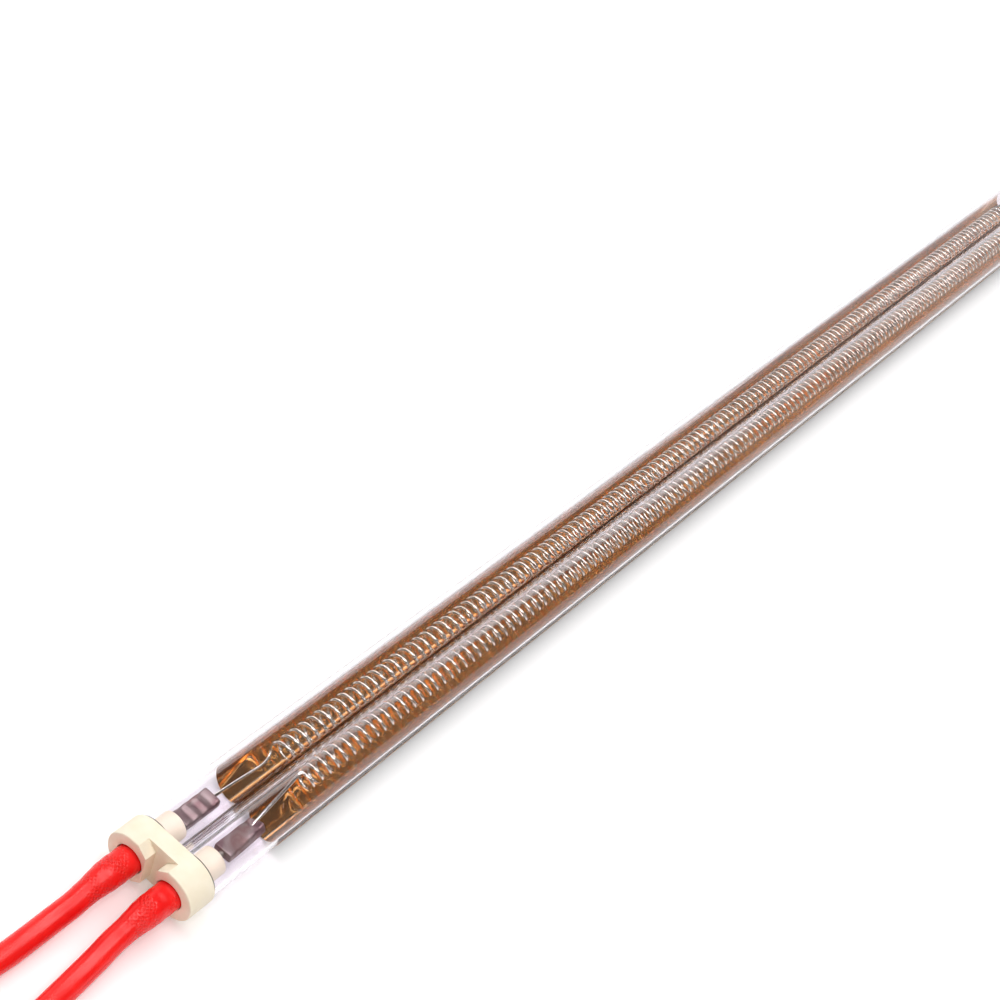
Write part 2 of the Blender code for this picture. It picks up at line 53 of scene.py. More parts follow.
# The gold film lies just inside the glass's underside
film = {
    "start": 0.0205,  # its front edge
    "slant": 0.14,  # of that edge, across the tube
    "farEdge": 8.0,  # degrees above level, round the far lobe
    "nearEdge": -58.0,  # the same round the near lobe
    "bare": 0.0008,  # height over the bores' middle at which no gold is left
    "full": -0.0022,  # height under which it is whole
    "inside": 0.00002,
    "thick": 0.00007,
}


def place(x, y=0.0, z=0.0):
    return Vector((x - tube["length"] / 2, y, z + tube["axisHeight"]))


# small helpers


def only(*objs):
    if bpy.context.mode != "OBJECT":
        bpy.ops.object.mode_set(mode="OBJECT")
    bpy.ops.object.select_all(action="DESELECT")
    for obj in objs:
        obj.select_set(True)
    bpy.context.view_layer.objects.active = objs[0]
    return objs[0]


def applyModifiers(obj):
    only(obj)
    for step in list(obj.modifiers):
        bpy.ops.object.modifier_apply(modifier=step.name)


def cut(obj, tool, how="DIFFERENCE"):
    step = obj.modifiers.new("cut", "BOOLEAN")
    step.operation = how
    step.object = tool
    applyModifiers(obj)
    bpy.data.objects.remove(tool)


def pick(obj, test, kind="VERT"):
    # leaves obj in edit mode with what passes the test selected
    only(obj)
    bpy.ops.object.mode_set(mode="EDIT")
    bpy.ops.mesh.select_mode(type=kind)
    bpy.ops.mesh.select_all(action="DESELECT")
    bpy.ops.object.mode_set(mode="OBJECT")
    mesh = obj.data
    if kind == "VERT":
        for vert in mesh.vertices:
            vert.select = test(vert.co)
    elif kind == "EDGE":
        for edge in mesh.edges:
            edge.select = test(*[mesh.vertices[i].co for i in edge.vertices])
    else:
        for face in mesh.polygons:
            face.select = test(face.center, face.normal)
    bpy.ops.object.mode_set(mode="EDIT")


def tidyMesh(obj):
    only(obj)
    bpy.ops.object.mode_set(mode="EDIT")
    bpy.ops.mesh.select_all(action="SELECT")
    bpy.ops.mesh.remove_doubles(threshold=1e-6)
    bpy.ops.mesh.normals_make_consistent(inside=False)
    bpy.ops.object.mode_set(mode="OBJECT")


def bar(radius, start, stop, sides=64):
    # a round bar between two points, with so many facets round it
    along = stop - start
    bpy.ops.mesh.primitive_cylinder_add(
        vertices=sides,
        radius=radius,
        depth=along.length,
        location=(start + stop) / 2,
        rotation=along.to_track_quat("Z", "Y").to_euler(),
    )
    obj = bpy.context.object
    only(obj)
    bpy.ops.object.transform_apply(location=True, rotation=True, scale=True)
    return obj


def block(low, high):
    bpy.ops.mesh.primitive_cube_add(size=1, location=(low + high) / 2)
    obj = only(bpy.context.object)
    obj.scale = high - low
    bpy.ops.object.transform_apply(location=True, rotation=True, scale=True)
    return obj


def wire(name, points, radius, sides=3, radii=None):
    # a curve through the points with a round section, rounder with more sides
    curve = bpy.data.curves.new(name, "CURVE")
    curve.dimensions = "3D"
    curve.bevel_depth = radius
    curve.bevel_resolution = sides
    curve.use_fill_caps = True
    spline = curve.splines.new("POLY")
    spline.points.add(len(points) - 1)
    for i, point in enumerate(points):
        spline.points[i].co = (*point, 1.0)
        spline.points[i].radius = radii[i] if radii else 1.0
    spline.use_smooth = True
    obj = bpy.data.objects.new(name, curve)
    bpy.context.scene.collection.objects.link(obj)
    return obj


def asMesh(obj):
    only(obj)
    bpy.ops.object.convert(target="MESH")
    return bpy.context.object


def smoothLine(route, steps=10):
    # Catmull-Rom through the route's own points
    points = [Vector(p) for p in route]
    points = [2 * points[0] - points[1]] + points + [2 * points[-1] - points[-2]]
    line = []
    for a, b, c, d in zip(points, points[1:], points[2:], points[3:]):
        for i in range(steps):
            t = i / steps
            bend = (2 * a - 5 * b + 4 * c - d) * t**2 + (3 * b - a - 3 * c + d) * t**3
            line.append(0.5 * (2 * b + (c - a) * t + bend))
    line.append(points[-2])
    return line


def finishPiece(obj, name, material, slotName, *nodes, angle=35):
    only(obj)
    bpy.ops.object.transform_apply(location=True, rotation=True, scale=True)
    obj.name = name
    obj.data.name = name
    obj.data.materials.clear()
    obj.data.materials.append(material)
    if obj.type == "MESH":
        bpy.ops.object.shade_smooth_by_angle(angle=math.radians(angle))
    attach(obj, "root")
    if nodes:
        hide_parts(*nodes)
    return obj


def hexColour(code):
    parts = [int(code[i:i + 2], 16) / 255 for i in (1, 3, 5)]
    linear = [c / 12.92 if c <= 0.04045 else ((c + 0.055) / 1.055) ** 2.4 for c in parts]
    return (*linear, 1.0)


def addNode(tree, kind, settings=None, links=None):
    node = tree.nodes.new(kind)
    for key, value in (settings or {}).items():
        setattr(node, key, value)
    for key, value in (links or {}).items():
        if isinstance(value, bpy.types.NodeSocket):
            tree.links.new(value, node.inputs[key])
        else:
            node.inputs[key].default_value = value
    return node


def newMaterial(name, **sockets):
    made = bpy.data.materials.new(name)
    made.use_nodes = True
    shader = made.node_tree.nodes["Principled BSDF"]
    for key, value in sockets.items():
        shader.inputs[key.replace("_", " ")].default_value = value
    return made, made.node_tree, shader


def ramp(tree, value, stops):
    node = addNode(tree, "ShaderNodeValToRGB", None, {"Fac": value})
    band = node.color_ramp
    while len(band.elements) < len(stops):
        band.elements.new(0.5)
    for element, (position, code) in zip(band.elements, stops):
        element.position = position
        element.color = hexColour(code)
    return node.outputs["Color"]


# camera, at the photograph's viewing angle
camera = {
    "place": (-0.39930, -0.12052, 0.31641),
    # its own three axes
    "right": (0.59850587, -0.75481816, 0.26840318),
    "up": (0.41775148, 0.57993724, 0.69939724),
    "back": (-0.68357474, -0.30646753, 0.66242225),
    "lens": 67.5,  # millimetres, on a sensor of 36
}
lensData = bpy.data.cameras.new("camera")
lensData.lens = camera["lens"]
lensData.sensor_width = 36
lensData.clip_start = 0.01
lensData.clip_end = 50
view = bpy.data.objects.new("camera", lensData)
bpy.context.scene.collection.objects.link(view)
turn = Matrix((camera["right"], camera["up"], camera["back"])).transposed()
view.matrix_world = Matrix.Translation(camera["place"]) @ turn.to_4x4()
bpy.context.scene.camera = view

# materials


def quartzGlass():
    # fused quartz, drawn and fire-polished: clear, with a faint violet cast in its thick edges
    made, tree, shader = newMaterial(
        "fusedQuartz",
        Base_Color=hexColour("#FAF8FB"),
        Roughness=0.0,
        IOR=1.458,
        Transmission_Weight=1.0,
    )
    # clear glass throws a faint shadow
    path = addNode(tree, "ShaderNodeLightPath")
    clear = addNode(tree, "ShaderNodeBsdfTransparent", None, {"Color": hexColour("#ECE7EC")})
    mix = addNode(tree, "ShaderNodeMixShader", None, {0: path.outputs["Is Shadow Ray"]})
    tree.links.new(shader.outputs[0], mix.inputs[1])
    tree.links.new(clear.outputs[0], mix.inputs[2])
    tree.links.new(mix.outputs[0], tree.nodes["Material Output"].inputs["Surface"])
    return made


def goldFilm():
    # liquid bright gold, brushed on and fired: a mirror that thins out along its upper edges
    made, tree, shader = newMaterial("firedGold", Metallic=1.0, Roughness=0.07)
    coords = addNode(tree, "ShaderNodeTexCoord")
    cloud = addNode(tree, "ShaderNodeTexNoise", None, {
        "Vector": coords.outputs["Object"], "Scale": 150.0, "Detail": 3.0})  # clouds of 7 mm
    colour = ramp(tree, cloud.outputs["Fac"], [(0.3, "#DBA25C"), (0.7, "#E4B272")])
    apart = addNode(tree, "ShaderNodeSeparateXYZ", None, {"Vector": coords.outputs["Object"]})
    cover = addNode(tree, "ShaderNodeMapRange", None, {
        "Value": apart.outputs["Z"],
        "From Min": tube["axisHeight"] + film["bare"],
        "From Max": tube["axisHeight"] + film["full"],
    })
    tree.links.new(colour, shader.inputs["Base Color"])
    tree.links.new(cover.outputs[0], shader.inputs["Alpha"])
    return made


def heatingAlloy():
    # iron-chromium resistance wire, drawn bright and lightly oxidised
    made, tree, shader = newMaterial("resistanceWire", Metallic=1.0, Roughness=0.1)
    coords = addNode(tree, "ShaderNodeTexCoord")
    noise = addNode(tree, "ShaderNodeTexNoise", None, {
        "Vector": coords.outputs["Object"], "Scale": 900.0, "Detail": 2.0})  # flecks of 1 mm
    colour = ramp(tree, noise.outputs["Fac"], [(0.3, "#D2CDC6"), (0.7, "#ECE8E2")])
    tree.links.new(colour, shader.inputs["Base Color"])
    return made


def steatite():
    # pressed and fired steatite: cream, matte, with fine grain and a few open pits
    made, tree, shader = newMaterial("steatite", Roughness=0.62)
    shader.inputs["Specular IOR Level"].default_value = 0.4
    coords = addNode(tree, "ShaderNodeTexCoord")
    cloud = addNode(tree, "ShaderNodeTexNoise", None, {
        "Vector": coords.outputs["Object"], "Scale": 320.0, "Detail": 4.0})  # clouds of 3 mm
    colour = ramp(tree, cloud.outputs["Fac"], [(0.25, "#F5E8CE"), (0.75, "#FCF2DD")])
    grain = addNode(tree, "ShaderNodeTexNoise", None, {
        "Vector": coords.outputs["Object"], "Scale": 5200.0, "Detail": 3.0})  # grain of 0.2 mm
    pits = addNode(tree, "ShaderNodeTexVoronoi", None, {
        "Vector": coords.outputs["Object"], "Scale": 620.0})  # pits 1.6 mm apart
    pitDepth = addNode(tree, "ShaderNodeMapRange", None, {
        "Value": pits.outputs["Distance"], "From Min": 0.06, "From Max": 0.16})
    spread = addNode(tree, "ShaderNodeTexNoise", None, {
        "Vector": coords.outputs["Object"], "Scale": 450.0})  # where the pits are left open
    rare = addNode(tree, "ShaderNodeMath", {"operation": "GREATER_THAN"}, {
        0: spread.outputs["Fac"], 1: 0.42})
    pitMask = addNode(tree, "ShaderNodeMath", {"operation": "MAXIMUM"}, {
        0: pitDepth.outputs[0], 1: rare.outputs[0]})
    height = addNode(tree, "ShaderNodeMath", {"operation": "MULTIPLY_ADD"}, {
        0: grain.outputs["Fac"], 1: 0.25, 2: pitMask.outputs[0]})
    bump = addNode(tree, "ShaderNodeBump", None, {
        "Height": height.outputs[0], "Strength": 0.35, "Distance": 0.0001})
    tree.links.new(colour, shader.inputs["Base Color"])
    tree.links.new(bump.outputs[0], shader.inputs["Normal"])
    return made


def tintedSteel(name, stops, roughness):
    # stainless sheet pressed round the wires, tinted by the weld and first firing
    made, tree, shader = newMaterial(name, Metallic=1.0, Roughness=roughness)
    coords = addNode(tree, "ShaderNodeTexCoord")
    cloud = addNode(tree, "ShaderNodeTexNoise", None, {
        "Vector": coords.outputs["Object"],
        "Scale": 170.0,  # tint clouds of 6 mm
        "Detail": 2.0,
        "Distortion": 0.4,
    })
    colour = ramp(tree, cloud.outputs["Fac"], stops)
    scratches = addNode(tree, "ShaderNodeTexNoise", None, {
        "Vector": coords.outputs["Object"], "Scale": 2600.0, "Detail": 2.0})  # marks of 0.4 mm
    bump = addNode(tree, "ShaderNodeBump", None, {
        "Height": scratches.outputs["Fac"], "Strength": 0.1, "Distance": 0.00005})
    tree.links.new(colour, shader.inputs["Base Color"])
    tree.links.new(bump.outputs[0], shader.inputs["Normal"])
    return made


sleeve = {
    "braidPitch": 0.0009,
    "around": 18.0,  # strands of each hand round the sleeve
    "braidDepth": 0.00012,
    "patches": 240.0,  # the skin is thinner in patches of 4 mm
    "leadLength": 0.158,
    "leadRelief": 0.1,
    "endLength": 0.013,
    "endRelief": 1.0,
}


def redSleeve(name, length, relief):
    # glass braid under a dipped silicone skin: wet gloss, with the braid telegraphing through
    made, tree, shader = newMaterial(name, Roughness=0.26)
    shader.inputs["Specular IOR Level"].default_value = 0.35
    coords = addNode(tree, "ShaderNodeTexCoord")
    apart = addNode(tree, "ShaderNodeSeparateXYZ", None, {"Vector": coords.outputs["UV"]})
    waves = []
    for hand in (1, -1):
        across = addNode(tree, "ShaderNodeMath", {"operation": "MULTIPLY"}, {
            0: apart.outputs["Y"], 1: hand * sleeve["around"]})
        along = addNode(tree, "ShaderNodeMath", {"operation": "MULTIPLY_ADD"}, {
            0: apart.outputs["X"], 1: length / sleeve["braidPitch"], 2: across.outputs[0]})
        angle = addNode(tree, "ShaderNodeMath", {"operation": "MULTIPLY"}, {
            0: along.outputs[0], 1: 2 * math.pi})
        waves.append(addNode(tree, "ShaderNodeMath", {"operation": "SINE"}, {
            0: angle.outputs[0]}).outputs[0])
    braid = addNode(tree, "ShaderNodeMath", {"operation": "MAXIMUM"}, {0: waves[0], 1: waves[1]})
    patch = addNode(tree, "ShaderNodeTexNoise", None, {
        "Vector": coords.outputs["Object"], "Scale": sleeve["patches"], "Detail": 2.0})
    showing = addNode(tree, "ShaderNodeMapRange", None, {
        "Value": patch.outputs["Fac"], "From Min": 0.46, "From Max": 0.70})
    height = addNode(tree, "ShaderNodeMath", {"operation": "MULTIPLY"}, {
        0: braid.outputs[0], 1: showing.outputs[0]})
    bump = addNode(tree, "ShaderNodeBump", None, {
        "Height": height.outputs[0], "Strength": relief, "Distance": sleeve["braidDepth"]})
    colour = ramp(tree, patch.outputs["Fac"], [(0.3, "#F01414"), (0.7, "#FA2420")])
    tree.links.new(colour, shader.inputs["Base Color"])
    tree.links.new(bump.outputs[0], shader.inputs["Normal"])
    return made


def plainMetal(name, dark, light, roughness):
    # drawn or tinned metal with a faint cloudiness
    made, tree, shader = newMaterial(name, Metallic=1.0, Roughness=roughness)
    coords = addNode(tree, "ShaderNodeTexCoord")
    cloud = addNode(tree, "ShaderNodeTexNoise", None, {
        "Vector": coords.outputs["Object"], "Scale": 700.0, "Detail": 3.0})  # clouds of 1.4 mm
    colour = ramp(tree, cloud.outputs["Fac"], [(0.3, dark), (0.7, light)])
    tree.links.new(colour, shader.inputs["Base Color"])
    return made


quartz = quartzGlass()
gold = goldFilm()
alloy = heatingAlloy()
ceramic = steatite()
crimpTint = tintedSteel("heatTintedSteel", [
    (0.36, "#83686A"), (0.50, "#9A8A89"), (0.62, "#8C6E6B"), (0.74, "#A69C9A")], 0.46)
leadRed = redSleeve("redSilicone", sleeve["leadLength"], sleeve["leadRelief"])
sleeveRed = redSleeve("redSiliconeEnd", sleeve["endLength"], sleeve["endRelief"])
nickel = plainMetal("drawnNickel", "#A7A19A", "#CFCAC2", 0.3)
tinned = plainMetal("tinnedCopper", "#B9B8B6", "#D8D7D5", 0.28)
print("materials made")

# leads: the free cords, each with its swollen sleeve end, strands and ring terminal
lead = {
    "radius": 0.0026,
    "endRadius": 0.00325,
    "endStart": -0.0059,  # where the sleeve end begins, in the cap's recess
    "straight": 0.0050,  # length of it before it droops
    "wide": 0.0060,  # length of it at the full radius
    "taper": 0.0070,
    "droop": 12.0,  # degrees
    "cutEdge": [(0.0, 0.93), (0.00012, 0.975), (0.0004, 1.0)],  # distance, share of the radius
    "narrow": 0.808,  # the sleeve end's last radius, as a share of its full one
    "ripple": 0.012,  # share of the radius
    "rippleRate": 2600,  # radians a metre, a ripple every 2.4 mm
    "rings": 24,
    "joint": 0.0003,  # between the sleeve end and the lead
    "strandGap": 0.0001,
    "strandLength": 0.0052,
    "strandRadius": 0.0011,
    "terminalGap": 0.00155,
    # the routes' heights are over the floor
    "farRoute": [
        (-0.0215, 0.0055, 0.00455),
        (-0.0260, 0.0058, 0.00365),
        (-0.0315, 0.0060, 0.00295),
        (-0.0380, 0.0062, 0.00267),
        (-0.0470, 0.0072, 0.00260),
        (-0.0580, 0.0090, 0.00260),
        (-0.0700, 0.0106, 0.00260),
        (-0.0820, 0.0114, 0.00260),
        (-0.0940, 0.0112, 0.00260),
        (-0.1060, 0.0102, 0.00260),
        (-0.1180, 0.0087, 0.00260),
        (-0.1300, 0.0074, 0.00260),
        (-0.1420, 0.0066, 0.00260),
        (-0.1540, 0.0064, 0.00260),
        (-0.1660, 0.0068, 0.00260),
        (-0.1730, 0.0072, 0.00260),
    ],
    "nearRoute": [
        (-0.0215, -0.0055, 0.00455),
        (-0.0260, -0.0059, 0.00365),
        (-0.0315, -0.0063, 0.00295),
        (-0.0380, -0.0069, 0.00267),
        (-0.0470, -0.0077, 0.00260),
        (-0.0580, -0.0082, 0.00260),
        (-0.0700, -0.0080, 0.00260),
        (-0.0820, -0.0071, 0.00260),
        (-0.0940, -0.0060, 0.00260),
        (-0.1060, -0.0053, 0.00260),
        (-0.1180, -0.0053, 0.00260),
        (-0.1300, -0.0060, 0.00260),
        (-0.1420, -0.0070, 0.00260),
        (-0.1540, -0.0078, 0.00260),
        (-0.1660, -0.0082, 0.00260),
        (-0.1730, -0.0083, 0.00260),
    ],
}


def sleevePoint(distance, side):
    # middle of the sleeve end, straight over its splice and then drooping
    bendLength = lead["wide"] + lead["taper"] - lead["straight"]
    radius = bendLength / math.radians(lead["droop"])
    angle = max(0.0, distance - lead["straight"]) / radius
    x = lead["endStart"] - min(distance, lead["straight"]) - radius * math.sin(angle)
    return place(x, side * tube["boreOffset"], -radius * (1 - math.cos(angle)))


def sleeveEnd(name, side):
    reach = lead["wide"] + lead["taper"]
    shape = list(lead["cutEdge"])
    first = shape[-1][0]
    for i in range(1, lead["rings"] + 1):
        distance = first + reach * i / lead["rings"]
        share = min(1.0, max(0.0, (distance - lead["wide"]) / lead["taper"]))
        ease = share * share * (3 - 2 * share)
        wave = lead["ripple"] * math.sin(distance * lead["rippleRate"] + side) * (1 - share)
        shape.append((distance, 1.0 + wave + (lead["narrow"] - 1.0) * ease))
    points = [sleevePoint(d, side) for d, r in shape]
    obj = wire(name, points, lead["endRadius"], sides=10, radii=[r for d, r in shape])
    return finishPiece(asMesh(obj), "wide_" + name, sleeveRed, "red_sleeve", name, angle=50)


terminal = {
    "barrel": 0.0020,
    "barrelLength": 0.0055,
    "bore": 0.0013,
    "boreDepth": 0.8,  # share of the barrel's length
    "tongue": 0.0075,
    "tongueStart": 0.6,  # share of the barrel's length
    "tongueWidth": 0.9,  # share of the barrel's diameter
    "ring": 0.0050,
    "hole": 0.00265,  # for an M5 stud
    "thick": 0.0009,
    "low": 0.94,  # depth of the flat ring under the barrel's middle, as a share of its radius
    "seam": 0.00008,  # half its width
    "seamLength": 1.1,  # share of the barrel's length
    "dents": (0.35, 0.65),  # shares of the barrel's length
    "dentRadius": 0.0006,
    "dentHeight": 0.00235,
    "edge": 0.00012,
}


def ringTerminal(name, node, start, heading):
    # barrel rolled from the tongue's own strip, and a flat punched ring
    barrel = terminal["barrel"]
    low = -barrel * terminal["low"]
    reach = terminal["barrelLength"]
    body = bar(barrel, Vector((0, 0, 0)), Vector((reach, 0, 0)), sides=48)
    middle = reach + terminal["tongue"]
    top = low + terminal["thick"]
    disc = bar(terminal["ring"], Vector((middle, 0, low)), Vector((middle, 0, top)), sides=96)
    width = barrel * terminal["tongueWidth"]
    neckStart = Vector((reach * terminal["tongueStart"], -width, low))
    cut(disc, block(neckStart, Vector((middle, width, top))), "UNION")
    cut(body, disc, "UNION")
    deep = reach * terminal["boreDepth"]
    cut(body, bar(terminal["bore"], Vector((-past, 0, 0)), Vector((deep, 0, 0)), sides=48))
    cut(body, bar(terminal["hole"], Vector((middle, 0, -past)), Vector((middle, 0, past))))
    seam = terminal["seam"]
    seamEnd = Vector((reach * terminal["seamLength"], seam, past))
    cut(body, block(Vector((-barrel / 2, -seam, barrel / 2)), seamEnd))
    for share in terminal["dents"]:
        dentMiddle = Vector((reach * share, 0, terminal["dentHeight"]))
        half = Vector((0, 2 * barrel, 0))
        cut(body, bar(terminal["dentRadius"], dentMiddle - half, dentMiddle + half, sides=24))
    edge = body.modifiers.new("edge", "BEVEL")
    edge.width = terminal["edge"]
    edge.segments = 2
    edge.angle_limit = math.radians(50)
    applyModifiers(body)
    tidyMesh(body)
    body.matrix_world = Matrix.Translation(start) @ Matrix.Rotation(heading, 4, "Z")
    return finishPiece(body, name, tinned, "tinned_copper", node)


def strands(name, start, heading, length, radius):
    # seven twisted tinned wires, six round one
    thin = radius / 3  # drawn 2% thinner, so that they lie clear of each other
    layLength = 0.012  # the strands go once round in this length
    steps = 16
    made = []
    for k in range(7):
        reach = 0 if k == 0 else radius - thin
        line = []
        for i in range(steps + 1):
            s = length * i / steps
            angle = k * math.pi / 3 + s / layLength * 2 * math.pi
            line.append(Vector((s, reach * math.cos(angle), reach * math.sin(angle))))
        made.append(asMesh(wire(name + str(k), line, thin * 0.98, sides=3)))
    only(*made)
    bpy.ops.object.join()
    obj = bpy.context.object
    obj.matrix_world = Matrix.Translation(start) @ Matrix.Rotation(heading, 4, "Z")
    return finishPiece(obj, "bare_" + name, tinned, "tinned_copper", name)


for label, side in (("far", 1), ("near", -1)):
    start = sleevePoint(lead["wide"] + lead["taper"] + lead["joint"], side)
    shift = Vector((-tube["length"] / 2, 0, 0))
    line = smoothLine([start] + [Vector(p) + shift for p in lead[label + "Route"]], steps=4)
    for point in line:
        point.z = max(point.z, lead["radius"])
    heading = math.atan2(*(line[-1] - line[-2]).yx)
    away = Vector((math.cos(heading), math.sin(heading), 0))
    cord = wire("lead_" + label, line, lead["radius"], sides=8)
    finishPiece(cord, "lead_" + label + "_sleeve", leadRed, "red_sleeve", "lead_" + label)
    end = sleeveEnd("sleeve_end_" + label, side)
    bareStart = line[-1] + away * lead["strandGap"]
    bareSize = lead["strandLength"], lead["strandRadius"]
    bare = strands("strands_" + label, bareStart, heading, *bareSize)
    ringStart = line[-1] + away * lead["terminalGap"]
    ring = ringTerminal("terminal_" + label, "ring_terminal_" + label, ringStart, heading)
print("leads laid")

# quartz tube: two lobes joined by a waist, with two bores
lobes = []
for side in (1, -1):
    y = side * tube["boreOffset"]
    lobes.append(bar(tube["lobeRadius"], place(0, y), place(tube["length"], y), tube["sides"]))
glass = lobes[0]
cut(glass, lobes[1], "UNION")
waist = tube["lobeRadius"] - tube["waistGroove"]
filletRadius = waist**2 + tube["boreOffset"]**2 - tube["lobeRadius"]**2
filletRadius /= 2 * tube["waistGroove"]
filletHeight = waist + filletRadius
touch = filletHeight * tube["lobeRadius"] / (tube["lobeRadius"] + filletRadius)
reachY = tube["boreOffset"] * filletRadius / (tube["lobeRadius"] + filletRadius)
cut(glass, block(place(0, -reachY, -touch), place(tube["length"], reachY, touch)), "UNION")
for z in (filletHeight, -filletHeight):
    ends = place(-past, 0, z), place(tube["length"] + past, 0, z)
    cut(glass, bar(filletRadius, *ends, sides=128))
tidyMesh(glass)

# the film copies the glass's underside before the bores are cut
coat = glass.copy()
coat.data = glass.data.copy()
bpy.context.scene.collection.objects.link(coat)
for x, direction in ((film["start"], -1), (tube["length"] - film["start"], 1)):
    pick(coat, lambda co: True)
    away = (direction, film["slant"], 0)
    bpy.ops.mesh.bisect(plane_co=place(x), plane_no=away, clear_outer=True)
edges = []
for label, side in (("far", 1), ("near", -1)):
    angle = math.radians(film[label + "Edge"])
    y = side * (tube["boreOffset"] + tube["lobeRadius"] * math.cos(angle))
    edges.append(place(0, y, tube["lobeRadius"] * math.sin(angle)))
across = edges[0] - edges[1]
pick(coat, lambda co: True)
bpy.ops.mesh.bisect(plane_co=edges[0], plane_no=(0, -across.z, across.y), clear_outer=True)
pick(coat, lambda centre, normal: abs(normal.x) > 0.9, "FACE")
bpy.ops.mesh.delete(type="FACE")
bpy.ops.object.mode_set(mode="OBJECT")
skin = coat.modifiers.new("skin", "SOLIDIFY")
skin.thickness = film["thick"]
skin.offset = 1 - 2 * film["inside"] / film["thick"]
applyModifiers(coat)
finishPiece(coat, "gold_film", gold, "gold", "gold_reflector")

for side in (1, -1):
    y = side * tube["boreOffset"]
    bore = bar(tube["boreRadius"], place(-past, y), place(tube["length"] + past, y), tube["sides"])
    cut(glass, bore)
tidyMesh(glass)
finishPiece(glass, "quartz_glass", quartz, "quartz", "quartz_tube", angle=30)
print("glass and film made")

# resistance coils with their tails
coil = {
    "wire": 0.00041,  # its radius
    "radius": 0.00267,  # to the middle of the wire
    "pitch": 0.00258,
    "perTurn": 24,  # points in a turn
    "end": 0.0334,  # from the last turn to the tube's blank end
    "slowDrift": (0.00012, 0.37),  # how far the turns stray, and radians a turn
    "quickDrift": (0.00008, 1.9),
    "join": 0.0003,  # left out between a tail and its first turn
    "leave": 0.0012,  # length of the last bend, along the wire and along the tube
    "leaveAlong": 0.0010,
    "exit": (0.0240, 0.0140),  # from the blank end, where the last tail runs straight
    # the tails are points from the crimp to the first turn, and phase is in degrees
    "far": {
        "side": 1, "middle": (0.0042, -0.0007), "start": 0.0348, "phase": -30.0,
        "tail": [(0.0140, 0.0055, 0.0), (0.0237, 0.0053, -0.0009), (0.0300, 0.0053, -0.0020),
                 (0.0321, 0.0055, -0.0023), (0.0336, 0.0059, -0.0024)],
    },
    "near": {
        "side": -1, "middle": (-0.0041, 0.0003), "start": 0.0326, "phase": 78.0,
        "tail": [(0.0140, -0.0055, 0.0), (0.0165, -0.0051, 0.0005), (0.0181, -0.00485, 0.00085),
                 (0.0250, -0.00412, 0.00180), (0.0316, -0.00335, 0.00265)],
    },
}


def heatingCoil(label):
    own = coil[label]
    turnCount = round((tube["length"] - coil["end"] - own["start"]) / coil["pitch"])
    slow, slowRate = coil["slowDrift"]
    quick, quickRate = coil["quickDrift"]
    points = []
    for i in range(turnCount * coil["perTurn"] + 1):
        turns = i / coil["perTurn"]
        # hand-fed winding: the pitch and the lie drift a little along the coil
        drift = slow * math.sin(turns * slowRate)
        drift += quick * math.sin(turns * quickRate + own["side"])
        angle = math.radians(own["phase"]) + 2 * math.pi * turns
        x = own["start"] + coil["pitch"] * turns + drift * min(1, turns)
        y = own["middle"][0] + coil["radius"] * math.cos(angle)
        z = own["middle"][1] + coil["radius"] * math.sin(angle)
        points.append(place(x, y, z))
    # a straight tail runs from the crimp into the first turn, and another out of the last
    tail = smoothLine([place(*p) for p in own["tail"]] + points[:2], steps=6)
    last = points[-1]
    bend = (last - points[-2]).normalized() * coil["leave"]
    bend += Vector((coil["leaveAlong"], 0, 0))
    y = own["side"] * tube["boreOffset"]
    exits = [place(tube["length"] - x, y) for x in coil["exit"]]
    exitLine = smoothLine([points[-2], last, last + bend] + exits, steps=6)
    points = [p for p in tail if p.x < points[0].x - coil["join"]] + points[:-1]
    points += [p for p in exitLine if p.x > last.x - 0.00001]
    node = "heating_coil_" + label
    obj = asMesh(wire(node, points, coil["wire"], sides=2))
    finishPiece(obj, "coil_" + label, alloy, "coil_alloy", node, angle=80)


for label in ("far", "near"):
    heatingCoil(label)
print("coils wound")

# ceramic caps
cap = {
    "length": 0.0067,
    "radius": 0.0060,
    "bossRadius": 0.0033,
    "bossLength": 0.0058,
    "bossRoot": 0.0020,  # of each boss, sunk in the cap
    "bossEdge": 0.0006,
    "hole": 0.0008,
    "recess": 0.00345,
    "recessDepth": 0.0014,
    "slotWidth": 0.0033,
    "slotDepth": 0.0028,
    "shoulderRun": 0.0024,  # how far the slot flares to each side at the top and bottom
    "shoulderDrop": 0.0021,  # and how far down the flare starts
    "groove": 0.0032,
    "edge": 0.00028,
    "gap": 0.0003,  # between the cap and the tube's end
}


def capBody(face, direction):
    # face is the x of the cap's face on the tube, direction the way its back points
    rear = face + direction * cap["length"]
    body = bar(cap["radius"], place(face), place(rear), sides=126)
    for side in (1, -1):
        pick(body, lambda co: co.y * side > 0)
        bpy.ops.transform.translate(value=(0, side * tube["boreOffset"], 0))
        bpy.ops.object.mode_set(mode="OBJECT")
    edge = body.modifiers.new("edge", "BEVEL")
    edge.width = cap["edge"]
    edge.segments = 4
    edge.angle_limit = math.radians(60)
    applyModifiers(body)
    tip = place(face - direction * cap["bossLength"]).x
    for side in (1, -1):
        y = side * tube["boreOffset"]
        boss = bar(cap["bossRadius"], place(face + direction * cap["bossRoot"], y),
                   place(face - direction * cap["bossLength"], y), sides=72)
        pick(boss, lambda a, b: abs(a.x - tip) < 1e-6 and abs(b.x - tip) < 1e-6, "EDGE")
        bpy.ops.mesh.bevel(offset=cap["bossEdge"], segments=5, profile=0.5)
        bpy.ops.object.mode_set(mode="OBJECT")
        cut(body, boss, "UNION")
    for side in (1, -1):
        y = side * tube["boreOffset"]
        cut(body, bar(cap["hole"], place(face - 2 * past, y), place(face + 2 * past, y), sides=32))
    return body, rear


